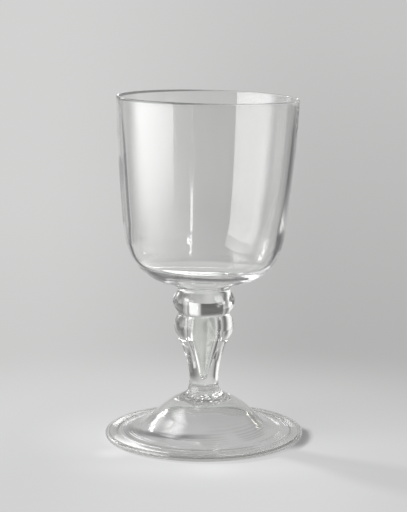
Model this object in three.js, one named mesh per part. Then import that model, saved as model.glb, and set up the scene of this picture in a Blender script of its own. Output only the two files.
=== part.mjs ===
// Clear glass goblet, blown and tooled by hand: a deep round-bottomed bowl on a knop, an inverted
// baluster with an air tear in it, and a domed foot whose rim is folded under.
// Millimetres, +Z up. The origin is the centre of the circle that the foot stands on.

import * as THREE from 'three';

// Heights of the four gathers of glass, from the table up
const footHeight = 22.2;
const balusterHeight = 38.2;
const knopHeight = 14.2;
const bowlHeight = 90.2;

// Bowl: outside, wall and base
const rimRadius = 43.4;
const rimWall = 1.4;
const shoulderRadius = 39.2;
const shoulderHeight = 28.9;
const shoulderWall = 3.7;
const bowlBase = 6.7;

// Bowl: how far the hand-made piece leans towards +X, in degrees, and how far its lip waves up and down
const bowlLeanDegrees = 1.37;
const rimWave = 0.3;

// Knop
const collarRadius = 12.8;
const collarHeight = 3.1;
const knopRadius = 14.95;
const knopEquator = 6.2;
const knopNeckRadius = 11.9;

// Baluster: its top, its bulge a little below the top, and its waist a little above the foot
const balusterTopRadius = 12.3;
const bulgeRadius = 14.5;
const bulgeDrop = 5.9;
const waistRadius = 7.1;
const waistRise = 5.1;
const balusterFootRadius = 8.4;

// Air tear: a drop-shaped pocket, open at the top of the baluster and closed by the knop,
// with solid glass left under its tip
const tearRadius = 6.05;
const tearFloor = 5.8;

// Foot: dome and plate
const footRadius = 48;
const crownThickness = 4.2;
const domeRadius = 23.6;
const domeLevel = 11.7;
const domeWall = 2.6;
const plateWidth = 5.7;
const plateThickness = 1.9;
const plateRise = 0.85;

// Foot: the folded rim, from the plate's edge down to the table
const plateEdge = 1.4;
const foldSlit = 0.3;
const foldThickness = 1.25;
const foldWidth = 6.3;
const foldHollowRadius = 0.4;

// Pontil scar: the broken disc of glass under the crown, and the flat land left round it
const scarRadius = 9.3;
const scarDepth = 1.3;
const scarChip = 0.35;
const scarLand = 0.3;

// Counts of flat sides round each turned piece, and of steps along a stretch of its outline
const wideSides = 48;
const stemSides = 36;
const scarSides = 24;
const longSteps = 8;
const shortSteps = 4;
const roundSteps = 6;

// A point of an outline: distance from the axis, height
const at = (radius, height) => new THREE.Vector2(radius, height);

// The point that lies the given shares of the way from one point to another, across and up
const between = (from, to, [across, up]) => at(
  THREE.MathUtils.lerp(from.x, to.x, across),
  THREE.MathUtils.lerp(from.y, to.y, up),
);

// A smooth stretch of outline between two points; its two handles are shares of the way between them
function curve(from, to, [firstShares, secondShares], steps) {
  const first = between(from, to, firstShares);
  const second = between(from, to, secondShares);
  return new THREE.CubicBezierCurve(from, first, second, to).getPoints(steps);
}

// A round stretch of outline about a centre, between two angles in degrees
function round(centre, radius, fromDegrees, toDegrees) {
  const from = THREE.MathUtils.degToRad(fromDegrees);
  const to = THREE.MathUtils.degToRad(toDegrees);
  const clockwise = to < from;
  return new THREE.EllipseCurve(centre.x, centre.y, radius, radius, from, to, clockwise).getPoints(roundSteps);
}

// Joins stretches of outline in order, without repeating the points where they meet,
// and turns them about the Z axis
function turn(stretches, sides) {
  const outline = stretches.flat().filter((point, i, all) => i === 0 || !point.equals(all[i - 1]));
  return new THREE.LatheGeometry(outline, sides).rotateX(Math.PI / 2);
}

// Moves every corner of a geometry by a rule
function reshape(geometry, rule) {
  const corners = geometry.attributes.position;
  const corner = new THREE.Vector3();
  for (let i = 0; i < corners.count; i += 1) {
    rule(corner.fromBufferAttribute(corners, i));
    corners.setXYZ(i, corner.x, corner.y, corner.z);
  }
  geometry.computeVertexNormals();
  return geometry;
}

// Bowl: one outline runs from the seat out round the bottom, up the wall, over the fire-polished
// lip and down the inside to the thick base
function bowlGeometry() {
  const axis = at(0, 0);
  const seatEdge = at(collarRadius, 0);
  const shoulder = at(shoulderRadius, shoulderHeight);
  const lipCentre = at(rimRadius - rimWall / 2, bowlHeight - rimWall / 2);
  const rim = at(rimRadius, lipCentre.y);
  const innerRim = at(rimRadius - rimWall, lipCentre.y);
  const innerShoulder = at(shoulderRadius - shoulderWall, shoulderHeight);
  const innerCentre = at(0, bowlBase);

  const bottomShares = [[0.515, 0.055], [0.928, 0.27]];
  const wallShares = [[0.405, 0.293], [0.843, 0.626]];
  const innerWallShares = [[0.23, 0.374], [0.636, 0.707]];
  const innerBottomShares = [[0.088, 1.09], [0.164, 0.99]];
  const bottom = curve(seatEdge, shoulder, bottomShares, longSteps);
  const wall = curve(shoulder, rim, wallShares, longSteps);
  const lip = round(lipCentre, rimWall / 2, 0, 180);
  const innerWall = curve(innerRim, innerShoulder, innerWallShares, longSteps);
  const innerBottom = curve(innerShoulder, innerCentre, innerBottomShares, longSteps);
  const geometry = turn([[axis], bottom, wall, lip, innerWall, innerBottom], wideSides);

  // The lean starts gently inside the thick base, so that the seat stays flat on the knop,
  // and the lip waves twice round, high at the front and back
  const lean = THREE.MathUtils.degToRad(bowlLeanDegrees);
  return reshape(geometry, (corner) => {
    const around = Math.atan2(corner.y, corner.x);
    const angle = lean * THREE.MathUtils.smoothstep(corner.z, 0, bowlBase);
    const wave = -rimWave * Math.cos(2 * around) * (corner.z / bowlHeight) ** 3;
    const { x, z } = corner;
    corner.x = x * Math.cos(angle) + z * Math.sin(angle);
    corner.z = z * Math.cos(angle) - x * Math.sin(angle) + wave;
  });
}

// Knop: a short barrel, tighter at its lower edge, with a slightly waisted collar up to the bowl
function knopGeometry() {
  const neck = at(knopNeckRadius, 0);
  const equator = at(knopRadius, knopEquator);
  const collarFoot = at(collarRadius, knopHeight - collarHeight);
  const collarTop = at(collarRadius, knopHeight);

  const lowerShares = [[0.36, 0.26], [1, 0.45]];
  const upperShares = [[0, 0.38], [0.63, 0.75]];
  const collarWaistShare = 0.975;
  const lower = curve(neck, equator, lowerShares, shortSteps);
  const upper = curve(equator, collarFoot, upperShares, shortSteps);
  const collarWaist = at(collarRadius * collarWaistShare, knopHeight - collarHeight / 2);
  return turn([[at(0, 0)], lower, upper, [collarWaist, collarTop, at(0, knopHeight)]], stemSides);
}

// Baluster: flares from the foot to a waist, swells to the bulge and closes a little to its top,
// where the tear opens
function balusterGeometry() {
  const base = at(balusterFootRadius, 0);
  const waist = at(waistRadius, waistRise);
  const bulge = at(bulgeRadius, balusterHeight - bulgeDrop);
  const top = at(balusterTopRadius, balusterHeight);

  const kneeShares = [0.742, 0.797];
  const flareShares = [[0.85, 0.24], [1, 0.61]];
  const taperShares = [[0, 0.467], [0.629, 0.778]];
  const swellShares = [[0.65, 0.286], [1, 0.637]];
  const closeShares = [[0, 0.366], [0.355, 0.722]];
  const knee = between(waist, bulge, kneeShares);
  const outside = [
    curve(base, waist, flareShares, shortSteps), curve(waist, knee, taperShares, longSteps),
    curve(knee, bulge, swellShares, shortSteps), curve(bulge, top, closeShares, shortSteps),
  ];

  // Places on the tear: shares of its radius, and of its depth below the top
  const mouthShares = [0.83, 0];
  const widestShares = [1, 0.19];
  const narrowShares = [0.3, 0.86];
  const mouthCurveShares = [[0.7, 0.26], [1, 0.58]];
  const dropCurveShares = [[0, 0.21], [0.743, 0.612]];
  const tipCurveShares = [[0.2, 0.64], [0.47, 1]];
  const tearTip = at(0, tearFloor);
  const tearRim = at(tearRadius, balusterHeight);
  const inTear = ([radiusShare, depthShare]) => between(tearTip, tearRim, [radiusShare, 1 - depthShare]);
  const tear = [
    curve(inTear(mouthShares), inTear(widestShares), mouthCurveShares, shortSteps),
    curve(inTear(widestShares), inTear(narrowShares), dropCurveShares, longSteps),
    curve(inTear(narrowShares), tearTip, tipCurveShares, shortSteps),
  ];
  return turn([[at(0, 0)], ...outside, ...tear], stemSides);
}

// Foot: from the land under the crown down the hollow of the dome and out under the plate, round
// the fold and the slit that it leaves, over the rolled edge and back up the dome
function footGeometry() {
  const edgeThickness = plateEdge + foldSlit + foldThickness;
  const edge = at(footRadius - edgeThickness / 2, edgeThickness / 2);
  const plateRadius = footRadius - foldWidth - plateWidth;
  const crown = at(balusterFootRadius, footHeight);
  const domeSide = at(domeRadius, domeLevel);
  const plateTop = at(plateRadius, edgeThickness + plateRise);

  // The underside keeps the thickness of the glass: straight down under the plate, square to
  // the slope at the dome's side
  const land = at(scarRadius + scarLand, footHeight - crownThickness);
  const slopeShare = Math.SQRT1_2;
  const hollowSide = at(domeRadius - domeWall * slopeShare, domeLevel - domeWall * slopeShare);
  const plateUnder = at(plateRadius, plateTop.y - plateThickness);
  const underDomeShares = [[0.34, 0.01], [0.65, 0.43]];
  const underSkirtShares = [[0.26, 0.55], [0.5, 0.98]];
  const underDome = curve(land, hollowSide, underDomeShares, longSteps);
  const underSkirt = curve(hollowSide, plateUnder, underSkirtShares, longSteps);

  // The fold: the slit's upper side, a small hollow where the glass bends, the slit's lower side
  // and the rounded end of the turned-under glass
  const slitMiddle = foldThickness + foldSlit / 2;
  const hollow = at(edge.x - foldHollowRadius, slitMiddle);
  const slitDegrees = THREE.MathUtils.radToDeg(Math.asin(foldSlit / 2 / foldHollowRadius));
  const slitMouth = at(footRadius - foldWidth, foldThickness + foldSlit);
  const foldEnd = at(footRadius - foldWidth + foldThickness / 2, foldThickness / 2);
  const bend = round(hollow, foldHollowRadius, 180 - slitDegrees, slitDegrees - 180);
  const foldRound = round(foldEnd, foldThickness / 2, 90, 270);
  const rolledEdge = round(edge, edgeThickness / 2, -90, 90);

  const skirtShares = [[0.48, 0.05], [0.69, 0.44]];
  const domeShares = [[0.423, 0.71], [0.97, 0.795]];
  const skirt = curve(plateTop, domeSide, skirtShares, longSteps);
  const dome = curve(domeSide, crown, domeShares, longSteps);
  return turn([[at(0, land.y)], underDome, underSkirt, [slitMouth], bend, foldRound, rolledEdge,
    skirt, dome, [at(0, footHeight)]], wideSides);
}

// Pontil scar: a shallow disc, flat where it grips the crown, snapped off rough underneath;
// the chips are two rings of waves that twist as they run outwards
function scarGeometry() {
  const outlineShares = [[0, 1], [0.3, 0.9], [0.55, 0.7], [0.75, 1], [0.9, 0.75], [1, 0], [0, 0]];
  const coarse = { waves: 3, twist: 5, strength: 1 };
  const fine = { waves: 7, twist: -9, strength: 0.5 };
  const outline = outlineShares.map(([radiusShare, depthShare]) =>
    at(scarRadius * radiusShare, -scarDepth * depthShare));
  return reshape(turn([outline], scarSides), (corner) => {
    const around = Math.atan2(corner.y, corner.x);
    const outShare = Math.hypot(corner.x, corner.y) / scarRadius;
    const depthShare = -corner.z / scarDepth;
    for (const { waves, twist, strength } of [coarse, fine]) {
      const chip = Math.sin(waves * around + twist * outShare);
      corner.z += scarChip * strength * chip * outShare * depthShare;
    }
  });
}

// The finish of one gather of clear glass
const glass = (colour) => new THREE.MeshStandardMaterial({
  color: colour, roughness: 0.04, metalness: 0, transparent: true, opacity: 0.4,
});
const brokenGlass = new THREE.MeshStandardMaterial({
  color: 0xdfe4de, roughness: 0.45, metalness: 0, transparent: true, opacity: 0.7,
});

// The goblet: each piece stands on the flat seat of the one below, and the scar hangs under the crown
const group = new THREE.Group();
function place(name, geometry, material, height) {
  const piece = new THREE.Mesh(geometry, material);
  piece.name = name;
  piece.position.z = height;
  group.add(piece);
}
const knopSeat = footHeight + balusterHeight;
place('foot', footGeometry(), glass(0xe6ebe6), 0);
place('pontil_scar', scarGeometry(), brokenGlass, footHeight - crownThickness);
place('baluster', balusterGeometry(), glass(0xdde3dd), footHeight);
place('knop', knopGeometry(), glass(0xdbe1da), knopSeat);
place('bowl', bowlGeometry(), glass(0xeff2f0), knopSeat + knopHeight);

export default group;
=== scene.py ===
# %% [markdown]
# # A clear glass goblet
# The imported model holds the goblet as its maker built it: a bowl, a knop, a baluster with a tear of air in
# it, a domed foot and the broken mark under the foot. It gives each piece its place and its real size.
# This lesson makes the fine surface of each piece, the glass itself, and the plain studio round it.

# %% Load the frame
from math import asin, atan2, cos, hypot, pi, radians, sin, tan, tau
import bpy
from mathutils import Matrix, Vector


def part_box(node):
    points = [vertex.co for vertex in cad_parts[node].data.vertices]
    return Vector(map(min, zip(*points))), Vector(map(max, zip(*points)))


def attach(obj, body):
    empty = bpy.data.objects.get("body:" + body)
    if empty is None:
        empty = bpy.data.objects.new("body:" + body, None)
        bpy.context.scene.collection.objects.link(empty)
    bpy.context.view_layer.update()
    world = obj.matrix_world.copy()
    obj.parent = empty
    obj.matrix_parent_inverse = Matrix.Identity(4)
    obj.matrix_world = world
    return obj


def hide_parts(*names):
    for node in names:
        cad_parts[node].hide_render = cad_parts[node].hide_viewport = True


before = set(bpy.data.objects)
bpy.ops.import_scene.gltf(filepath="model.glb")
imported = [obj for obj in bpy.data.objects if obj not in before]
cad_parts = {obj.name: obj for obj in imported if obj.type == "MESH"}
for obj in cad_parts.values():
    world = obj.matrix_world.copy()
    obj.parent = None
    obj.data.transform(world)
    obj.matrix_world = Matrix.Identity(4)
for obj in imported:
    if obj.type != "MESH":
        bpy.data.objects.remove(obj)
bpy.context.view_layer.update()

print("the frame holds", sorted(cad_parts))

# %% [markdown]
# ## Sizes read from the frame
# Every seat is a height where one gather of glass stands on the next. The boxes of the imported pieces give
# them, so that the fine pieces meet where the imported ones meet. Outlines are drawn in millimetres.

# %% Heights and outer radii
MM = 0.001


def height_of(node):
    """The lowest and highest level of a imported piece, in millimetres."""
    low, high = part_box(node)
    return low.z / MM, high.z / MM


def radius_of(node):
    """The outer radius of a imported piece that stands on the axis, in millimetres."""
    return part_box(node)[1].x / MM


foot_top = height_of("foot")[1]
baluster_seat, baluster_top = height_of("baluster")
knop_seat, knop_top = height_of("knop")
bowl_height = 89.9  # as it is blown, before it leans
foot_radius = radius_of("foot")
bulge_radius = radius_of("baluster")
knop_radius = radius_of("knop")
print("seats at", [round(level, 2) for level in (foot_top, baluster_top, knop_top)], "mm")

# %% [markdown]
# ## A pen
# A glassmaker turns every piece against a tool, so every piece is round about one axis. The pen draws half
# of the section with Bezier strokes. A stroke needs few numbers, and it stays smooth however finely it is
# cut into steps.

# %% The pen
class Pen:
    """Draws half of a section in the XZ plane, stroke by stroke, in millimetres."""

    quarter_handle = 0.5523

    def __init__(self, name, radius, height):
        self.curve = bpy.data.curves.new(name, "CURVE")
        self.curve.dimensions = "3D"
        self.here = Vector((radius, height))

    def stroke(self, first, second, end, steps):
        """One Bezier stroke with two handles, each a point of its own."""
        spline = self.curve.splines.new("BEZIER")
        spline.bezier_points.add(1)
        spline.resolution_u = steps
        knots = ((self.here, self.here, first), (end, second, end))
        for knot, (place, left, right) in zip(spline.bezier_points, knots):
            knot.handle_left_type = knot.handle_right_type = "FREE"
            for name, point in (("co", place), ("handle_left", left), ("handle_right", right)):
                setattr(knot, name, (point.x * MM, 0, point.y * MM))
        self.here = end

    def line(self, radius, height):
        """A straight stroke."""
        end = Vector((radius, height))
        self.stroke(self.here.lerp(end, 1 / 3), self.here.lerp(end, 2 / 3), end, 1)

    def bend(self, end, shares, steps=24):
        """A curved stroke. Its handles are shares of the way to its end, outwards and up."""
        way = end - self.here
        first, second = (self.here + Vector((way.x * out, way.y * up)) for out, up in shares)
        self.stroke(first, second, end, steps)

    def arc(self, centre, start, stop, steps=8):
        """Part of a circle about a centre, from the pen's own distance, between two angles in degrees."""
        radius = (self.here - centre).length
        parts = max(1, round(abs(stop - start) / 90))
        turn = radians(stop - start) / parts
        reach = radius * self.quarter_handle * turn / (pi / 2)
        for part in range(parts):
            a = radians(start) + part * turn
            b = a + turn
            end = centre + radius * Vector((cos(b), sin(b)))
            first = centre + radius * Vector((cos(a), sin(a))) + reach * Vector((-sin(a), cos(a)))
            second = end - reach * Vector((-sin(b), cos(b)))
            self.stroke(first, second, end, steps)


# %% [markdown]
# ## A spin
# One full turn of the line about the upright axis makes the closed skin. Edit mode's Spin tool could turn
# it too, but it slows down badly with hundreds of sides, so a Screw modifier without lift does it.

# %% The spin
weld, crease_degrees = 1e-6, 40


def pick(*objects):
    """Deselects everything and selects these objects, the last of them active."""
    bpy.ops.object.select_all(action="DESELECT")
    for each in objects:
        each.select_set(True)
    bpy.context.view_layer.objects.active = objects[-1]


def spin(pen, sides):
    """Turns the pen's outline once round the Z axis and closes it into one skin."""
    piece = bpy.data.objects.new(pen.curve.name, pen.curve)
    bpy.context.scene.collection.objects.link(piece)
    pick(piece)
    bpy.ops.object.convert(target="MESH")
    bpy.ops.object.mode_set(mode="EDIT")
    bpy.ops.mesh.select_all(action="SELECT")
    bpy.ops.mesh.remove_doubles(threshold=weld)
    bpy.ops.object.mode_set(mode="OBJECT")
    turn = piece.modifiers.new("turn", "SCREW")
    turn.axis = "Z"
    turn.angle = tau
    turn.steps = turn.render_steps = sides
    bpy.ops.object.modifier_apply(modifier=turn.name)
    bpy.ops.object.mode_set(mode="EDIT")
    bpy.ops.mesh.select_all(action="SELECT")
    bpy.ops.mesh.remove_doubles(threshold=weld)
    bpy.ops.mesh.normals_make_consistent(inside=False)
    bpy.ops.object.mode_set(mode="OBJECT")
    return piece


def settle(piece):
    """Puts a finished piece's place into its mesh and smooths all but its real creases."""
    pick(piece)
    bpy.ops.object.transform_apply(location=True, rotation=True, scale=True)
    bpy.ops.object.shade_smooth_by_angle(angle=radians(crease_degrees))
    print(piece.name, "has", len(piece.data.polygons), "faces")


# %% [markdown]
# ## The bowl
# The bowl is one bubble of glass, blown, opened and drawn up to a fire-polished lip. Its wall thickens
# downwards into a solid base, and that thickness is what the eye reads as good glass. Two nested shells
# would need joining at the lip, so the whole section, inside and outside, is drawn as one line.

# %% Draw and spin the bowl
collar_radius = 12.8
rim_radius, rim_wall = 43.4, 1.4
shoulder_radius, shoulder_height, shoulder_wall = 39.2, 28.9, 4.1
base_thickness = 6.7
bowl_sides, stem_sides = 384, 160
lip_level = bowl_height - rim_wall / 2

pen = Pen("blown_bowl", 0, 0)
pen.line(collar_radius, 0)
pen.bend(Vector((shoulder_radius, shoulder_height)), [(0.515, 0.055), (0.928, 0.27)], 40)
pen.bend(Vector((rim_radius, lip_level)), [(0.405, 0.293), (0.843, 0.626)], 32)
pen.arc(Vector((rim_radius - rim_wall / 2, lip_level)), 0, 180)
inner_shoulder = Vector((shoulder_radius - shoulder_wall, shoulder_height))
pen.bend(inner_shoulder, [(0.2, 0.2), (0.62, 0.707)], 40)
pen.bend(Vector((0, base_thickness)), [(0.088, 1.09), (0.164, 0.99)], 48)
bowl = spin(pen, bowl_sides)

# %% [markdown]
# Blown glass never gathers evenly, and this wall is thicker on the left half way down. The inside alone is
# pushed over with a Displace modifier, weighted by a vertex group, so that the outline stays true.

# %% Push the inside over
inside_push, skin_gap = 0.6, 1
inside = bowl.vertex_groups.new(name="inside")
for vertex in bowl.data.vertices:
    height = vertex.co.z / MM
    outer_radius = shoulder_radius + (rim_radius - shoulder_radius) * (height - shoulder_height) / (
        lip_level - shoulder_height)
    out = hypot(vertex.co.x, vertex.co.y) / MM
    if base_thickness < height < lip_level and out < outer_radius - skin_gap:
        half_way = sin(pi * (height - base_thickness) / (lip_level - base_thickness)) ** 2
        inside.add([vertex.index], half_way, "REPLACE")
push = bowl.modifiers.new("push", "DISPLACE")
push.vertex_group = inside.name
push.direction = "X"
push.mid_level = 0
push.strength = inside_push * MM
pick(bowl)
bpy.ops.object.modifier_apply(modifier=push.name)

# %% [markdown]
# A hand-made bowl is never quite true. This one leans a little to the right, which a Simple Deform bend
# inside the thick base gives without lifting the seat, and its lip waves: lower at the two sides, higher
# at the front and the back. Proportional editing lets the wall below follow the lip.

# %% Lean the bowl and wave its lip
lean_degrees, lifted_degrees = 1.37, 8
rim_wave, wave_reach = 0.14, 50
lean = bowl.modifiers.new("lean", "SIMPLE_DEFORM")
lean.deform_method = "BEND"
lean.deform_axis = "Y"
lean.angle = radians(lean_degrees)
lean.limits = (0, base_thickness / bowl_height)
bpy.ops.object.modifier_apply(modifier=lean.name)


def raise_lip(direction, lift, reach):
    """Lifts the lip on both sides of the axis along a direction, and the wall under it less and less."""
    for vertex in bowl.data.vertices:
        out = Vector((vertex.co.x, vertex.co.y))
        along = abs(out.normalized().dot(direction)) if out.length else 0
        vertex.select = vertex.co.z > (lip_level - rim_wall) * MM and along > cos(radians(lifted_degrees))
    bpy.ops.object.mode_set(mode="EDIT")
    bpy.ops.transform.translate(
        value=(0, 0, lift * MM), use_proportional_edit=True,
        proportional_edit_falloff="SMOOTH", proportional_size=reach * MM)
    bpy.ops.object.mode_set(mode="OBJECT")


bpy.ops.object.mode_set(mode="EDIT")
bpy.ops.mesh.select_mode(type="VERT")
bpy.ops.mesh.select_all(action="DESELECT")
bpy.ops.object.mode_set(mode="OBJECT")
raise_lip(Vector((1, 0)), -rim_wave, wave_reach)
raise_lip(Vector((0, 1)), rim_wave, wave_reach)
bowl.location.z = knop_top * MM
settle(bowl)

# %% [markdown]
# ## The knop
# The knop is a short barrel with a waisted collar, made from a gather of its own. It closes the mouth of
# the tear below it, so its flat underside is drawn in two steps: a disc over the air, and a ring that is
# fused to the baluster.

# %% Draw and spin the knop
tear_radius, mouth_share = 6.05, 0.83
mouth_radius = tear_radius * mouth_share
neck_radius = 11.9
knop_height = knop_top - knop_seat
equator, collar_height, collar_waist = 6.2, 3.1, 0.975

pen = Pen("barrel_knop", 0, 0)
pen.line(mouth_radius, 0)
pen.line(neck_radius, 0)
pen.bend(Vector((knop_radius, equator)), [(0.36, 0.26), (1, 0.45)], 20)
pen.bend(Vector((collar_radius, knop_height - collar_height)), [(0, 0.38), (0.63, 0.75)], 20)
waist = Vector((collar_radius * collar_waist, knop_height - collar_height / 2))
pen.bend(waist, [(0.6, 0.2), (1, 0.6)], 6)
pen.bend(Vector((collar_radius, knop_height)), [(0, 0.4), (0.4, 0.8)], 6)
pen.line(0, knop_height)
knop = spin(pen, stem_sides)
knop.location.z = knop_seat * MM
settle(knop)

# %% [markdown]
# ## The baluster and its tear
# The stem is an inverted baluster: full at the top, drawn in to a narrow waist. The maker pricked the hot
# gather and the air swelled into a long drop. The drop is a pocket in the piece, so its line simply goes
# on from the outside line over the top.

# %% Draw and spin the baluster
baluster_height = baluster_top - baluster_seat
stem_foot_radius, stem_top_radius = 8.4, 12.3
stem_waist = Vector((7.1, 5.1))
bulge_drop, knee_out, knee_up = 5.9, 0.742, 0.797
bulge = Vector((bulge_radius, baluster_height - bulge_drop))
below_bulge = bulge - stem_waist
knee = stem_waist + Vector((below_bulge.x * knee_out, below_bulge.y * knee_up))
tear_floor = 5.8
tear_depth = baluster_height - tear_floor


def in_tear(radius_share, depth_share):
    """A place on the tear, as shares of its radius and of its depth."""
    return Vector((tear_radius * radius_share, baluster_height - tear_depth * depth_share))


pen = Pen("stem_with_tear", 0, 0)
pen.line(stem_foot_radius, 0)
pen.bend(stem_waist, [(0.85, 0.24), (1, 0.61)], 16)
pen.bend(knee, [(0, 0.467), (0.629, 0.778)], 32)
pen.bend(bulge, [(0.65, 0.286), (1, 0.637)], 16)
pen.bend(Vector((stem_top_radius, baluster_height)), [(0, 0.366), (0.355, 0.722)], 16)
pen.line(neck_radius, baluster_height)
pen.line(mouth_radius, baluster_height)
pen.bend(in_tear(1, 0.19), [(0.7, 0.26), (1, 0.58)], 16)
pen.bend(in_tear(0.3, 0.86), [(0, 0.21), (0.743, 0.612)], 32)
pen.bend(in_tear(0, 1), [(0.2, 0.64), (0.47, 1)], 16)
baluster = spin(pen, stem_sides)
baluster.location.z = baluster_seat * MM
settle(baluster)

# %% [markdown]
# ## The folded foot
# The foot was spun open from a dome, and its edge was folded under, which leaves a slit and a small tube
# of air where the glass turned back. That fold throws the bright rings that mark an old foot. The line
# therefore runs under the dome, round the slit and the fold, over the rolled edge and back up the dome.

# %% Draw and spin the foot
crown_thickness, dome_radius, dome_level, dome_wall = 4.2, 23.6, 11.7, 1.4
plate_width, plate_thickness, plate_rise = 5.7, 1.9, 0.85
plate_edge, fold_slit, fold_thickness, fold_width, fold_hollow = 1.4, 0.3, 1.25, 6.3, 0.4
scar_radius, scar_land, scar_depth = 7.9, 0.3, 3.8
edge_thickness = plate_edge + fold_slit + fold_thickness
edge = Vector((foot_radius - edge_thickness / 2, edge_thickness / 2))
plate_radius = foot_radius - fold_width - plate_width
plate_top = Vector((plate_radius, edge_thickness + plate_rise))
dome_side = Vector((dome_radius, dome_level))
land_level = foot_top - crown_thickness
slit_level = fold_thickness + fold_slit / 2
slit_degrees = asin(fold_slit / 2 / fold_hollow) * 180 / pi
hollow = Vector((edge.x - fold_hollow, slit_level))
half_slit = Vector((fold_hollow * cos(radians(slit_degrees)), fold_slit / 2))
fold_end = Vector((foot_radius - fold_width + fold_thickness / 2, fold_thickness / 2))

pen = Pen("folded_foot", 0, land_level)
pen.line(scar_radius, land_level)
pen.line(scar_radius + scar_land, land_level)
pen.bend(dome_side - Vector((dome_wall, dome_wall)) / 2**0.5, [(0.3, -0.12), (0.72, 0.42)], 12)
pen.bend(plate_top - Vector((0, plate_thickness)), [(0.26, 0.55), (0.5, 0.98)], 12)
pen.line(foot_radius - fold_width, fold_thickness + fold_slit)
pen.line(hollow.x - half_slit.x, slit_level + half_slit.y)
pen.arc(hollow, 180 - slit_degrees, slit_degrees - 180, 4)
pen.line(fold_end.x, fold_thickness)
pen.arc(fold_end, 90, 270, 4)
pen.line(edge.x, 0)
pen.arc(edge, -90, 90, 6)
pen.bend(plate_top, [(0.35, 0.12), (0.7, 0.5)], 18)
pen.bend(dome_side, [(0.48, 0.05), (0.69, 0.44)], 22)
pen.bend(Vector((stem_foot_radius, foot_top)), [(0.423, 0.71), (0.97, 0.795)], 10)
pen.line(0, foot_top)
foot_sides = 820
foot = spin(pen, foot_sides)

# %% [markdown]
# The maker opened the foot against a wooden tool while it turned, and the tool left a faint spiral of wide
# ripples. A vertex group holds the height of the wave at every point of the upper face of the plate, and a
# Displace modifier presses it in. The ripples are a few hundredths of a millimetre deep, and still they
# draw rings.

# %% Ripple the foot
ripple_pitch, ripple_depth = 4.6, 0.06
ripple_start, ripple_growth, bare_edge, ripple_end = 26, 6, 5.5, 2
ripple_wobble, least_upward, joint_width = 0.5, 0.02, 1
plate_level = (fold_thickness + fold_slit) * MM


def share_of(value, whole):
    """A share of a whole, kept between 0 and 1."""
    return min(1, max(0, value / whole))


ripples = foot.vertex_groups.new(name="ripples")
for vertex in foot.data.vertices:
    out = hypot(vertex.co.x, vertex.co.y) / MM
    turn = atan2(vertex.co.y, vertex.co.x)
    faces_up = vertex.normal.z > least_upward and vertex.co.z > plate_level
    if faces_up and out > stem_foot_radius + joint_width:
        wave = 0.5 + 0.5 * sin(tau * out / ripple_pitch - turn + ripple_wobble * sin(2 * turn))
        on_plate = share_of(out - ripple_start, ripple_growth)
        at_edge = share_of(foot_radius - bare_edge - out, ripple_end)
        ripples.add([vertex.index], wave * on_plate * at_edge, "REPLACE")
press = foot.modifiers.new("press", "DISPLACE")
press.vertex_group = ripples.name
press.direction = "NORMAL"
press.mid_level = 0
press.strength = -ripple_depth * MM
pick(foot)
bpy.ops.object.modifier_apply(modifier=press.name)
settle(foot)

# %% [markdown]
# ## The pontil scar
# The foot was held on an iron rod while the bowl was opened, and the rod was knocked off at the end. What
# is left is a shallow disc of broken glass. A smooth dish is spun first, and a Displace modifier with a
# cell pattern then breaks all of it but the flat that grips the crown.

# %% Spin the scar and break it
dish_out, dish_down = 0.72, 0.9
chip_size, chip_height = 2.2, 1.8
pen = Pen("broken_scar", 0, -scar_depth)
pen.bend(Vector((scar_radius * dish_out, -scar_depth * dish_down)), [(0.4, 0), (0.7, 0.5)], 32)
pen.bend(Vector((scar_radius, 0)), [(0.5, 0.05), (0.96, 0.5)], 24)
pen.line(0, 0)
scar = spin(pen, stem_sides)
rough = scar.vertex_groups.new(name="broken")
for vertex in scar.data.vertices:
    depth_share = min(1, -vertex.co.z / (scar_depth * MM))
    rough.add([vertex.index], depth_share, "REPLACE")
chips = bpy.data.textures.new("chips", "VORONOI")
chips.noise_scale = chip_size * MM
chip = scar.modifiers.new("chip", "DISPLACE")
chip.texture = chips
chip.texture_coords = "LOCAL"
chip.vertex_group = rough.name
chip.direction = "Z"
chip.mid_level = 0
chip.strength = chip_height * MM
bpy.ops.object.modifier_apply(modifier=chip.name)
scar.location.z = land_level * MM
settle(scar)

# %% [markdown]
# ## Shader sums
# A shader is a web of nodes, and a web is hard to read. The two small classes below let it be written as
# sums: a Wire is one output of a node, and adding or multiplying wires adds the Math nodes that do it.

# %% Wires and shaders
class Wire:
    """One output of a node, which can be used in a sum."""

    def __init__(self, shader, socket):
        self.shader = shader
        self.socket = socket

    def sum(self, operation, *values):
        return self.shader.node("Math", {"operation": operation}, dict(enumerate(values)))

    def __add__(self, other):
        return self.sum("ADD", self, other)

    def __radd__(self, other):
        return self.sum("ADD", other, self)

    def __sub__(self, other):
        return self.sum("SUBTRACT", self, other)

    def __rsub__(self, other):
        return self.sum("SUBTRACT", other, self)

    def __mul__(self, other):
        return self.sum("MULTIPLY", self, other)

    def __rmul__(self, other):
        return self.sum("MULTIPLY", other, self)

    def __truediv__(self, other):
        return self.sum("DIVIDE", self, other)

    def __pow__(self, other):
        return self.sum("POWER", self, other)

    def __gt__(self, other):
        return self.sum("GREATER_THAN", self, other)

    def __lt__(self, other):
        return self.sum("LESS_THAN", self, other)

    def size(self):
        """The value without its sign."""
        return self.sum("ABSOLUTE", self)

    def sine(self):
        """The sine of the value, which is in radians."""
        return self.sum("SINE", self)

    def angle_from(self, other):
        """The angle in radians of a direction, from the second of its two parts towards the first."""
        return self.sum("ARCTAN2", self, other)

    def at_least(self, other):
        """The larger of two values."""
        return self.sum("MAXIMUM", self, other)

    def at_most(self, other):
        """The smaller of two values."""
        return self.sum("MINIMUM", self, other)

    def toward(self, other, share):
        """The value moved a share of the way to another."""
        return self + (other - self) * share


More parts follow.
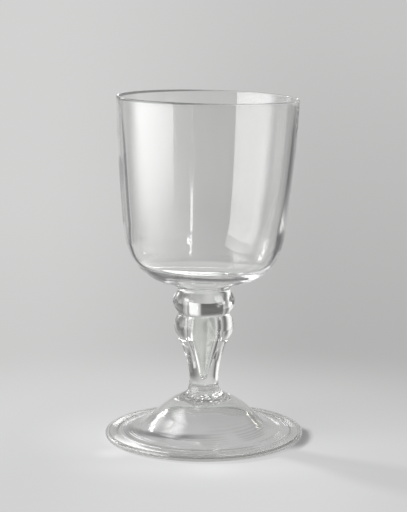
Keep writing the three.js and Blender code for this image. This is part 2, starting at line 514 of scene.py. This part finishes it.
class Shader:
    """The nodes of one material or of the world."""

    def __init__(self, owner):
        owner.use_nodes = True
        self.tree = owner.node_tree
        self.tree.nodes.clear()

    def node(self, kind, settings=None, sockets=None, output=0):
        """Adds a node: its settings first, then the values or wires of its sockets."""
        made = self.tree.nodes.new("ShaderNode" + kind)
        for name, value in (settings or {}).items():
            setattr(made, name, value)
        for name, value in (sockets or {}).items():
            if isinstance(value, Wire):
                self.tree.links.new(value.socket, made.inputs[name])
            else:
                made.inputs[name].default_value = value
        return Wire(self, made.outputs[output])

    def ramp(self, value, low, high, start=0.0, end=1.0):
        """A smooth step from start to end while the value goes from low to high."""
        return self.node("MapRange", {"interpolation_type": "SMOOTHSTEP"}, {
            "Value": value, "From Min": low, "From Max": high, "To Min": start, "To Max": end})

    def levels(self, value, *stops):
        """A level that follows the value through stops, each a value and a level."""
        low, high = stops[0][0], stops[-1][0]
        top = max(level for place, level in stops)
        share = self.node("MapRange", sockets={"Value": value, "From Min": low, "From Max": high})
        made = self.node("ValToRGB", sockets={"Fac": share})
        ramp = made.socket.node.color_ramp
        ramp.interpolation = "EASE"
        while len(ramp.elements) < len(stops):
            ramp.elements.new(0.5)
        for element, (place, level) in zip(ramp.elements, stops):
            element.position = (place - low) / (high - low)
            element.color = (level / top, level / top, level / top, 1)
        return made * top

    def tint(self, factor, first, second):
        """A colour between two colours."""
        return self.node("Mix", {"data_type": "RGBA"}, {0: factor, 6: first, 7: second}, 2)

    def parts(self, vector):
        """The three numbers of a vector."""
        return [self.node("SeparateXYZ", sockets={0: vector}, output=axis) for axis in range(3)]

    def place(self):
        """Where the point lies in its object, as a vector and as three numbers."""
        here = self.node("TexCoord", output=3)
        return here, *self.parts(here)

    def depth(self, kind):
        """How often the ray was reflected (Glossy), refracted (Transmission) or scattered (Diffuse)."""
        return self.node("LightPath", output=kind + " Depth")

    def finish(self, surface, kind="Material"):
        """Sends a surface to the output."""
        end = self.tree.nodes.new("ShaderNodeOutput" + kind)
        self.tree.links.new(surface.socket, end.inputs["Surface"])


def distance(across, along, x=0, y=0):
    """How far a place lies from a point, or from the axis, seen from above."""
    return ((across - x) ** 2 + (along - y) ** 2) ** 0.5


# %% [markdown]
# ## The glass
# Old clear glass is colourless only at first sight. Thick parts look faintly grey-green, long streaks
# called striae bend what is seen through it, seeds of air are caught in it, and fire has polished its skin.
# One Principled shader does it, with full transmission. Its tint and its bump change slowly over the
# surface, and each piece adds painted shade, the marks of its age and those of the tools as functions of its
# own.

# %% A recipe for clear glass
refractive_index = 1.5
drift_start, drift_end = 0.35, 0.65
seed_scale, seed_reach, seed_share = 90.0, 0.022, 0.6
seed_grey = (0.4, 0.4, 0.4, 1)


def clear_glass(name, pale, deep, streak_scale, streak_depth, age_and_shade=None, tooling=None):
    """Glass whose tint drifts between two colours along its striae. Age and painted shade change the tint
    further, and tooling adds heights in mm to the striae's own, which are streak_depth high."""
    material = bpy.data.materials.new(name)
    shader = Shader(material)
    here, across, along, up = shader.place()
    stretched = shader.node("Mapping", sockets={"Vector": here, "Scale": streak_scale})
    streaks = shader.node("TexNoise", sockets={"Vector": stretched, "Scale": 1.0, "Detail": 2.0})
    tint = shader.tint(shader.ramp(streaks, drift_start, drift_end), (*pale, 1), (*deep, 1))
    out = distance(across, along) / MM
    turn = along.angle_from(across)
    # The piece's own function adds marks of age and painted shade to the tint.
    if age_and_shade:
        tint = age_and_shade(shader, tint, streaks, out, turn, up / MM)
    seeds = shader.node("TexVoronoi", sockets={"Vector": here, "Scale": seed_scale}) < seed_reach
    tint = shader.tint(seeds * seed_share, tint, seed_grey)
    height = streaks * streak_depth
    if tooling:
        height = height + tooling(out, turn, up / MM)
    bump = shader.node("Bump", sockets={"Height": height, "Strength": 1.0, "Distance": MM})
    glass = shader.node("BsdfPrincipled", sockets={
        "Base Color": tint, "Roughness": 0.0, "IOR": refractive_index, "Transmission Weight": 1.0,
        "Normal": bump})
    shader.finish(glass)
    print(name, "is a web of", len(shader.tree.nodes), "nodes")
    return material


# %% [markdown]
# The bowl looks deeper where it is thick and greener at the collar, where it was worked longest, and its lip
# has a painted shade of dark grey for the dark line of a rounded lip. The tool that turned the collar left
# fine ridges round it. They are far too shallow to model, so the bump carries them.

# %% How the bowl aged, and the painted shade on its lip
# The dark grey second tint and the last two numbers on the next line give the painted shade of the lip.
thick_tint, lip_shade_tint, collar_tint = (0.93, 0.94, 0.93, 1), (0.38, 0.39, 0.38, 1), (0.82, 0.84, 0.76, 1)
thick_share, thick_reach, lip_shade_start, lip_shade_full = 0.5, 45, 0.1, 0.4
collar_share, collar_low, collar_high, collar_near, collar_far = 0.6, 4, 7, 16, 24
ridge_pitch, ridge_height, ridge_turns = 0.8, 0.01, 2
ridge_low, ridge_high, ridge_far = 0.2, 6, 22


def bowl_age_and_shade(shader, tint, streaks, out, turn, up):
    """The thick glass low down looks deeper, and the lip gets a painted shade of dark grey."""
    thick = shader.ramp(up, knop_top + thick_reach, knop_top)
    tint = shader.tint(thick * thick_share, tint, thick_tint)
    # Painted shade: the lip is tinted dark grey for the dark line that a rounded lip shows.
    painted_lip_shade = shader.ramp(up, knop_top + lip_level + lip_shade_start, knop_top + lip_level + lip_shade_full)
    tint = shader.tint(painted_lip_shade, tint, lip_shade_tint)
    collar = shader.ramp(up, knop_top + collar_high, knop_top + collar_low)
    collar = collar * shader.ramp(out, collar_far, collar_near)
    return shader.tint(collar * collar_share, tint, collar_tint)


def bowl_tooling(out, turn, up):
    """The tool's fine ridges round the collar and the turn of the base, as heights in mm."""
    level = up - knop_top
    ridge = level * (tau / ridge_pitch) + turn * ridge_turns
    return ridge.sine() * (level < ridge_high) * (level > ridge_low) * (out < ridge_far) * ridge_height


# %% [markdown]
# Between the wide ripples of the foot runs a fine spiral of grooves, again as bump. Some of the grooves get
# a painted shade of grey for the fine dark lines that the ripples draw. The mouth of the fold and its hollow
# get a darker painted shade, which draws the two dark rings that are seen through an old foot.

# %% Painted shade in the foot's grooves and fold
groove_pitch, groove_depth = 1.35, 0.012
first_groove, last_groove = 28, 42
# Shares, places and greys of the painted shade in the grooves and in the fold.
groove_shade_share, groove_shade_patches, groove_shade_near, groove_shade_far = 0.3, (0.45, 0.6), (22, 30), (45.5, 44)
fold_shade_share, mouth_width, hollow_width = 0.7, (0.6, 0.4), (0.6, 0.45)
upper_face, fold_shade_top, mouth_ring = 2.4, 2, 41.9
groove_shade_tint, fold_shade_tint = (0.45, 0.45, 0.43, 1), (0.4, 0.4, 0.38, 1)


def groove_wave(out, turn):
    """The fine spiral that the tool left, from 0 to 1 and back at every groove."""
    phase = out * (tau / groove_pitch) + turn
    return 0.5 + 0.5 * phase.sine()


def foot_painted_shade(shader, tint, streaks, out, turn, up):
    """Painted shade lies in the grooves here and there, and darker in the mouth and the hollow of the fold.
    """
    # Painted shade: grey in some of the grooves, for the dark lines that the ripples draw.
    painted_groove_shade = groove_wave(out, turn) * shader.ramp(streaks, *groove_shade_patches)
    painted_groove_shade = painted_groove_shade * shader.ramp(out, *groove_shade_near) * shader.ramp(out, *groove_shade_far) * (up > upper_face)
    tint = shader.tint(painted_groove_shade * groove_shade_share, tint, groove_shade_tint)
    # Painted shade: two dark grey rings, at the mouth and in the hollow of the fold.
    in_mouth = shader.ramp((out - mouth_ring).size(), *mouth_width)
    in_hollow = shader.ramp((out - hollow.x).size(), *hollow_width)
    painted_fold_shade = in_mouth.at_least(in_hollow) * (up < fold_shade_top)
    return shader.tint(painted_fold_shade * fold_shade_share, tint, fold_shade_tint)


def foot_tooling(out, turn, up):
    """The height of the fine grooves in mm."""
    wave = groove_wave(out, turn) * (out > first_groove) * (out < last_groove)
    return wave * (up > upper_face) * groove_depth


# %% [markdown]
# Four glasses come from the one recipe. The bowl's striae are drawn out upwards, as the bubble was. The
# stem is solid, so its tint is the deepest. The broken glass is rough all over.

# %% Four glasses
bowl_glass = clear_glass("bowl_glass", (0.99, 0.99, 0.985), (0.97, 0.975, 0.97), (90, 90, 18), 0.02,
                         age_and_shade=bowl_age_and_shade, tooling=bowl_tooling)
stem_glass = clear_glass("stem_glass", (0.95, 0.96, 0.94), (0.9, 0.915, 0.89), (160, 160, 60), 0.03)
foot_glass = clear_glass("foot_glass", (0.97, 0.975, 0.965), (0.94, 0.95, 0.935), (60, 60, 60), 0.004,
                         age_and_shade=foot_painted_shade, tooling=foot_tooling)
broken_glass = clear_glass("broken_glass", (0.96, 0.965, 0.95), (0.9, 0.91, 0.89), (1000, 1000, 1000), 0.28)

# %% [markdown]
# ## Fused seats
# Hot glass fuses to hot glass and no surface is left between the two. Each piece still needs a closed
# skin, so the faces of every seat get a second material that light passes straight through.

# %% Dress the pieces
fused = bpy.data.materials.new("fused_seat")
shader = Shader(fused)
shader.finish(shader.node("BsdfTransparent"))
seat_reach = 0.001


def dress(piece, glass, node, seats):
    """Gives a piece its glass and its fused seats, each a level and an inner and outer radius in mm."""
    piece.data.materials.append(glass)
    piece.data.materials.append(fused)
    for face in piece.data.polygons:
        out = hypot(face.center.x, face.center.y) / MM
        level = face.center.z / MM
        if any(abs(level - seat) < seat_reach and inner < out < outer for seat, inner, outer in seats):
            face.material_index = 1
    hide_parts(node)
    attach(piece, "root")
    fused_faces = sum(face.material_index for face in piece.data.polygons)
    print(piece.name, "has", fused_faces, "fused faces")


for piece in (bowl, knop, baluster, foot, scar):
    piece.visible_diffuse = False
bowl.visible_shadow = False
dress(bowl, bowl_glass, "bowl", [(knop_top, 0, collar_radius)])
dress(knop, stem_glass, "knop",
      [(knop_top, 0, collar_radius), (knop_seat, mouth_radius, neck_radius)])
dress(baluster, stem_glass, "baluster",
      [(baluster_top, mouth_radius, neck_radius), (baluster_seat, 0, stem_foot_radius)])
dress(foot, foot_glass, "foot",
      [(foot_top, 0, stem_foot_radius), (land_level, 0, scar_radius)])
dress(scar, broken_glass, "pontil_scar", [(land_level, 0, scar_radius)])

# %% [markdown]
# ## The studio
# Glass is drawn by what stands round it. Behind the goblet hangs grey paper, lighter on the left, and the
# rest of the room is pale. Looked at plainly, or through thin glass, that is all there is. A world shader
# is enough for it, because the room is far away: each direction has a compass heading and a height.

# %% The paper and the room
scene = bpy.context.scene
world = bpy.data.worlds.new("studio")
scene.world = world
world.cycles.sampling_method = "NONE"
shader = Shader(world)
across, along, up = shader.parts(shader.node("TexCoord"))
compass = across.angle_from(along) * (180 / pi)
heading_size = compass.size()

left_level = shader.ramp(up, -0.235, -0.12, 0.6, 0.645)
right_drop = shader.ramp(up, -0.16, -0.01, 0.148, 0.085)
wall_level = left_level - right_drop * shader.ramp(compass, -6, 4.5)
floor_level = shader.ramp(compass, -8, 8, 0.68, 0.62)
paper = wall_level.toward(floor_level, shader.ramp(up, -0.215, -0.3))
ahead = shader.levels(compass, (-180, 0), (-14, 0), (-8, 1), (8, 1), (14, 0), (180, 0))

room_overhead, room_low_left = 0.62, 1.1
room = shader.levels(
    compass, (-180, 0.62), (-125, 0.7), (-108, 0.95), (-51, 0.95), (-42, 0.62), (-38, 0.5), (-12, 0.62),
    (10, 0.5), (22, 0.44), (46, 0.44), (64, 0.7), (95, 0.7), (110, 0.62), (180, 0.62))
low_left = shader.ramp(up, -0.25, -0.32) * shader.ramp(compass, -29, -41) * shader.ramp(compass, -120, -100)
room = room.toward(room_low_left, low_left)
room = room.toward(room_overhead, shader.ramp(up.size(), 0.6, 0.85))
seen = room.toward(paper, ahead)
print("the room is a web of", len(shader.tree.nodes), "nodes so far")

# %% [markdown]
# Mirroring skins, and solid glass, which bends light far round, show the whole studio. A black flag stands
# beside the paper on either side, the softbox is on the left, a white card on the right, and the camera's
# own side is dark. One row of levels is for the height of the bowl, one for the height of the table and one
# for what stands above the paper. Each row gives levels by compass heading.

# %% The levels round the studio
reflected = shader.depth("Glossy") > 0.5
level_with_bowl = shader.levels(
    compass, (-180, 0.12), (-140, 0.3), (-125, 0.6), (-100, 0.85), (-85, 1), (-75, 1.3), (-52, 1.3),
    (-45, 1), (-41, 0.6), (-37, 0.18), (-33, 0.15), (-28, 0.42), (-24, 0.54), (-14, 0.6), (-8, 0.64),
    (8, 0.5), (15, 0.42), (22, 0.28), (32, 0.16), (48, 0.16), (60, 0.34), (75, 0.7), (95, 0.7),
    (118, 0.2), (180, 0.12))
near_table = shader.levels(
    compass, (-180, 0.12), (-140, 0.3), (-125, 0.6), (-100, 0.85), (-85, 1), (-75, 1.3), (-50, 1.3),
    (-44, 1.05), (-41, 0.75), (-37, 0.16), (-33, 0.14), (-29, 0.25), (-24, 0.5), (-18, 0.6), (8, 0.55),
    (20, 0.62), (25, 0.95), (32, 0.95), (38, 0.2), (43, 0.2), (50, 0.42), (66, 0.5), (75, 0.7), (95, 0.7),
    (118, 0.2), (180, 0.12))
studio = level_with_bowl.toward(near_table, shader.ramp(up, -0.27, -0.36))

beside_level, edge_level, studio_overhead = 0.45, 0.85, 0.25
beside_softbox = shader.levels(compass, (-180, 0), (-110, 0), (-90, 1), (-44, 1), (-39, 0), (180, 0))
studio = studio.toward(beside_level, beside_softbox * shader.ramp(up, -0.36, -0.3) * reflected)
studio = studio.toward(paper, ahead)
edge_light = shader.levels(compass, (-180, 0), (19, 0), (22, 1), (27, 1), (31, 0), (180, 0))
studio = studio.toward(edge_level, edge_light * shader.ramp(up, -0.07, -0.04))

over_paper = shader.levels(
    compass, (-180, 0.12), (-140, 0.2), (-100, 0.3), (-75, 1.1), (-50, 1.1), (-43, 0.3), (-39, 0.2),
    (-31, 0.5), (-29, 0.14), (2, 0.14), (6, 0.7), (9, 1.1), (19, 1.1), (22, 0.25), (25, 0.65), (30, 0.4),
    (34, 0.15), (48, 0.2), (70, 0.5), (95, 0.5), (118, 0.2), (180, 0.12))
mirrored_over_paper = shader.levels(
    compass, (-180, 0.12), (-140, 0.2), (-100, 0.3), (-75, 1.1), (-50, 2), (-39, 2), (-34, 0.5),
    (-31, 0.5), (22, 0.5), (30, 0.4), (34, 0.15), (48, 0.2), (70, 0.5), (95, 0.5), (118, 0.2), (180, 0.12))
over_paper = over_paper.toward(mirrored_over_paper, reflected)
slant = shader.ramp(compass, -45, 25, -0.06, 0)
studio = studio.toward(over_paper, shader.ramp(up + slant, 0.035, 0.075))
studio = studio.toward(studio_overhead, shader.ramp(up, 0.4, 0.6))
print("with the studio it is a web of", len(shader.tree.nodes), "nodes")

# %% [markdown]
# Light Path tells the rays apart by how often they were reflected or refracted. Two refractions mean solid
# glass and four mean a thin wall. To the sides and behind, only mirrored rays see the contrasts, so that
# the glass stays clear from every side. A ray that was mirrored many times inside a wall has seen a bit of
# everything, and it settles on a mean level. Scattered rays get one even level, which lights the table.

# %% Which ray sees what
refractions = shader.depth("Transmission")
through_solid = (refractions > 1.5) * (refractions < 2.5)
aside = shader.ramp(heading_size, 75, 105).at_least(shader.ramp(up, 0.2, 0.35))
studio = studio.toward(room, aside * (1 - reflected))
brightest_plain, ambient, mean_level, tired_overhead = 0.72, 0.56, 0.62, 0.2
tiring, settling = (5, 12), (22, 38)
sky_red, sky_blue = 1.003, 0.995
seen = seen.toward(seen.at_most(brightest_plain), refractions < 0.5)
level = seen.toward(studio, reflected.at_least(through_solid))
tired = shader.levels(
    compass, (-180, 0.2), (-110, 0.3), (-75, 0.8), (-55, 2.2), (-38, 2.2), (-32, 0.35), (-22, 0.3),
    (0, 0.36), (40, 0.25), (180, 0.25))
tired = tired.toward(tired_overhead, shader.ramp(up, 0.3, 0.55))
level = level.toward(tired, shader.ramp(shader.depth("Glossy"), *tiring))
level = level.toward(mean_level, shader.ramp(shader.depth("Glossy"), *settling))
level = level.toward(ambient, shader.depth("Diffuse") > 0.5)
sky = shader.node("CombineXYZ", sockets={0: level * sky_red, 1: level, 2: level * sky_blue})
shader.finish(shader.node("Background", sockets={"Color": sky, "Strength": 1.0}), "World")
print("and the finished world is a web of", len(shader.tree.nodes), "nodes")

# %% [markdown]
# ## The table
# The goblet stands on a pale table. Its paint is one grey, but the softbox lights it unevenly, and the foot
# gathers light into two bright spots and a pool, and leaves a shade under its right edge and behind the
# dome. A path tracer finds such spots only slowly, so smooth steps draw them. Each step runs between two
# places on the table, in metres, and between two greys.

# %% How light lies on the table
table_radius, below_foot = 0.5, 0.02
front_share, paint_red, paint_blue = 0.045, 0.997, 1.003
bpy.ops.object.select_all(action="DESELECT")
bpy.ops.mesh.primitive_circle_add(
    vertices=96, radius=table_radius, fill_type="NGON", location=(0, 0, -below_foot * MM))
table = bpy.context.active_object
table.name = "table"
material = bpy.data.materials.new("pale_table")
shader = Shader(material)
here, across, along, up = shader.place()
from_axis = distance(across, along)
to_front_left = shader.ramp(across * 0.5 + along * 0.87, -0.05, 0.04, 1, 0.1)
pool = shader.ramp(from_axis, 0.045, 0.095, 0.085, 0) + shader.ramp(from_axis, 0.046, 0.053, 0.05, 0)
far_right = shader.ramp(along, -0.03, 0.06, 0, 0.06) * shader.ramp(across, -0.02, 0.05)
grey = shader.ramp(across, -0.08, 0.09, 0.66, 0.72) + pool * to_front_left - far_right
in_front = shader.ramp(along, -0.04, -0.06) * shader.ramp(across, -0.09, -0.03)
grey = grey + front_share * in_front * shader.ramp(across, 0.1, 0.04)
for x, y, reach, share in ((-0.043, -0.033, 0.012, 0.08), (0.004, -0.058, 0.02, 0.05)):
    grey = grey + shader.ramp(distance(across, along, x, y), reach, 0) * share

dome_shade_share, contact_shade_share = 0.55, 0.45
from_back = distance(across, along, -0.005, 0.03)
dome_shade = shader.ramp(from_back, 0.033, 0.039) * shader.ramp(from_back, 0.048, 0.042)
dome_shade = dome_shade * shader.ramp(across, 0.008, -0.012) * shader.ramp(from_axis, 0.041, 0.035)
contact = shader.ramp(from_axis, 0.0545, 0.0495) * shader.ramp(from_axis, 0.0455, 0.048)
contact = contact * shader.ramp(across, 0.03, 0.044)
contact = contact * shader.ramp(along, -0.03, -0.016) * shader.ramp(along, 0.014, 0.004)
grey = grey * (1 - dome_shade_share * dome_shade) * (1 - contact_shade_share * contact)
colour = shader.node("CombineXYZ", sockets={0: grey * paint_red, 1: grey, 2: grey * paint_blue})
print("the table's light is a web of", len(shader.tree.nodes), "nodes")

# %% [markdown]
# The table fades into the paper a hand's breadth behind the foot, as a lit table does in front of a far
# wall. Part of its brightness is its own, for the views, and the rest comes from the lamps and the sky,
# which keeps the goblet's shadow. It can be looked through from below, and rays from the glass to its left
# end go on to the softbox.

# %% The table's surface
own_share, fade_start, fade_end = 0.3, 0.07, 0.23
scattered = shader.depth("Diffuse") > 0.5
from_glass = (shader.depth("Glossy") > 0.5).at_least(shader.depth("Transmission") > 1.5)
matt = shader.node("BsdfDiffuse", sockets={"Color": colour})
glow = shader.node("Emission", sockets={"Color": colour, "Strength": 1.0})
lit = shader.node("MixShader", sockets={0: (1 - scattered) * own_share, 1: matt, 2: glow})
far_away = shader.ramp(distance(across, along, -0.01, -0.03), fade_start, fade_end)
to_softbox = shader.ramp(across, -0.05, -0.08) * from_glass * (1 - scattered)
behind = shader.node("NewGeometry", output="Backfacing")
gone = far_away.at_least(to_softbox).at_least(behind)
clear = shader.node("BsdfTransparent")
shader.finish(shader.node("MixShader", sockets={0: gone, 1: lit, 2: clear}))
table.data.materials.append(material)
print("the table is", 2 * table_radius, "m across")

# %% [markdown]
# ## The softbox
# The softbox stands close on the left. Its near edge is crisp and its far and lower parts die away, which
# shapes both reflections in the bowl. Only rays that glass has mirrored once or twice see this panel, so it
# can be bright without lighting the table.

# %% The softbox
white = (1, 1, 1, 1)


def shine(panel, name, colour, level, shape_of):
    """Makes a panel clear to all but mirrored rays, which see it shine where its shape says."""
    panel.visible_camera = panel.visible_diffuse = panel.visible_shadow = False
    material = bpy.data.materials.new(name)
    shader = Shader(material)
    here, across, up, out = shader.place()
    mirrored = shader.depth("Glossy")
    once_or_twice = (mirrored > 0.5) * (mirrored < 2.5) * (shader.depth("Diffuse") < 0.5)
    glow = shader.node("Emission", sockets={"Color": colour, "Strength": level})
    clear = shader.node("BsdfTransparent")
    share = once_or_twice * shape_of(shader, across, up)
    shader.finish(shader.node("MixShader", sockets={0: share, 1: clear, 2: glow}))
    material.cycles.emission_sampling = "NONE"
    panel.data.materials.append(material)
    print(panel.name, "hangs at", [round(part, 3) for part in panel.location])


def softbox_shape(shader, across, up):
    """A crisp near edge, dimmer by a little, and soft far and lower parts."""
    far_part = shader.ramp(across, 0.98, 0.25)
    near_part = shader.ramp(across, -1.0, -0.5, 0.82, 1)
    return far_part * near_part * shader.ramp(up, -0.56, -0.11)


near_end, far_end = Vector((-0.28, -0.32)), Vector((-0.41, 0.18))
box_low, box_high, box_level = -0.15, 0.38, 4.8
middle = (near_end + far_end) / 2
run = far_end - near_end
turned = run.angle_signed(Vector((1, 0)))
bpy.ops.mesh.primitive_plane_add(size=2, location=(middle.x, middle.y, (box_low + box_high) / 2))
panel = bpy.context.active_object
panel.name = "softbox_panel"
panel.scale = (run.length / 2, (box_high - box_low) / 2, 1)
panel.rotation_euler = (radians(90), 0, turned)
shine(panel, "softbox_cloth", white, box_level, softbox_shape)

# %% [markdown]
# ## Small bright panels
# Every sparkle in glass is a small picture of something bright. A window with a bar gives the split
# highlight on the dome, a narrow strip by the camera the long streak down the bowl, and the others the
# spots on the shoulders and in the foot. They hang far off, and only mirrored rays see them.

# %% Small bright panels
panel_distance = 0.7


def high_light(name, heading, height, half_width, half_height, bar, edge_share, level, colour=white):
    """A bright panel at a heading and height, half_width and half_height wide, all in degrees. A bar of
    this share of it is dark across the middle, and its edges are soft over a share of it."""
    turn, rise = radians(heading), radians(height)
    way = Vector((sin(turn) * cos(rise), cos(turn) * cos(rise), sin(rise)))
    bpy.ops.mesh.primitive_plane_add(size=2, location=way * panel_distance)
    light = bpy.context.active_object
    light.name = name
    light.rotation_mode = "QUATERNION"
    light.rotation_quaternion = (-way).to_track_quat("Z", "Y")
    light.scale = (panel_distance * tan(radians(half_width)), panel_distance * tan(radians(half_height)), 1)

    def shape_of(shader, across, up):
        edge_distance = 1 - across.size().at_least(up.size())
        shape = shader.ramp(edge_distance, 0, edge_share)
        return shape * (up.size() > bar) if bar else shape

    shine(light, name, colour, level, shape_of)


high_light("window", -45, 25.5, 4.5, 7, 0.15, 0.1, 9)
high_light("strip_light", -157, -14, 2.2, 4.2, 0, 0.8, 20)
high_light("back_light", -3, 20, 6, 2.6, 0, 0.4, 3.4)
high_light("warm_light", 41, 20, 5, 2.5, 0, 0.9, 6, (1, 0.93, 0.8, 1))
high_light("high_softbox", -85, 56, 28, 12, 0, 0.9, 4.5)

# %% [markdown]
# ## Lamps for the table
# Matt things are lit by two area lamps in the places of the softbox and the window. The large one is soft,
# and the small one draws the long pale shadow to the right. Each is set by how bright it makes white paper.

# %% Lamps for the table
def area_lamp(name, place, width, height, share):
    """A soft lamp that gives a matt white surface by the goblet, facing it, this share of white."""
    data = bpy.data.lights.new(name, "AREA")
    data.shape = "RECTANGLE"
    data.size, data.size_y = width, height
    place = Vector(place)
    data.energy = share * pi**2 * place.length_squared
    lamp = bpy.data.objects.new(name, data)
    lamp.location = place
    lamp.rotation_mode = "QUATERNION"
    lamp.rotation_quaternion = (-place).to_track_quat("-Z", "Y")
    lamp.visible_camera = lamp.visible_glossy = lamp.visible_transmission = False
    scene.collection.objects.link(lamp)
    print(name, "gives", round(data.energy, 2), "W")


area_lamp("softbox_lamp", (-0.75, -0.35, 0.6), 0.8, 0.8, 0.34)
area_lamp("window_lamp", (-0.536, 0.45, 0.4), 0.08, 0.08, 0.4)

# %% [markdown]
# ## The camera
# The two ellipses of the lip and the foot give the camera: a long lens, a little above the goblet. Light
# can be trapped in the bowl's wall and run round it for a long way, so the paths may be very long.

# %% The camera
data = bpy.data.cameras.new("camera")
focal_pixels, long_side_pixels = 1676, 512
tilt_degrees, camera_place = 9.79, (-0.0001, -0.7919, 0.2248)
data.sensor_width = 36
data.lens = focal_pixels / long_side_pixels * data.sensor_width
camera = bpy.data.objects.new("camera", data)
camera.location = camera_place
camera.rotation_euler = (radians(90 - tilt_degrees), 0, 0)
scene.collection.objects.link(camera)
scene.camera = camera
scene.view_settings.view_transform = "Standard"
bounces = 400
scene.cycles.max_bounces = scene.cycles.transmission_bounces = bounces
scene.cycles.glossy_bounces = scene.cycles.transparent_max_bounces = bounces
print("the lens is", round(data.lens, 1), "mm long")

# %% [markdown]
# ## The end
# The fine model is meant to fill the same box as the imported one. The script ends by deselecting
# everything.

# %% Deselect everything
bpy.ops.object.select_all(action="DESELECT")
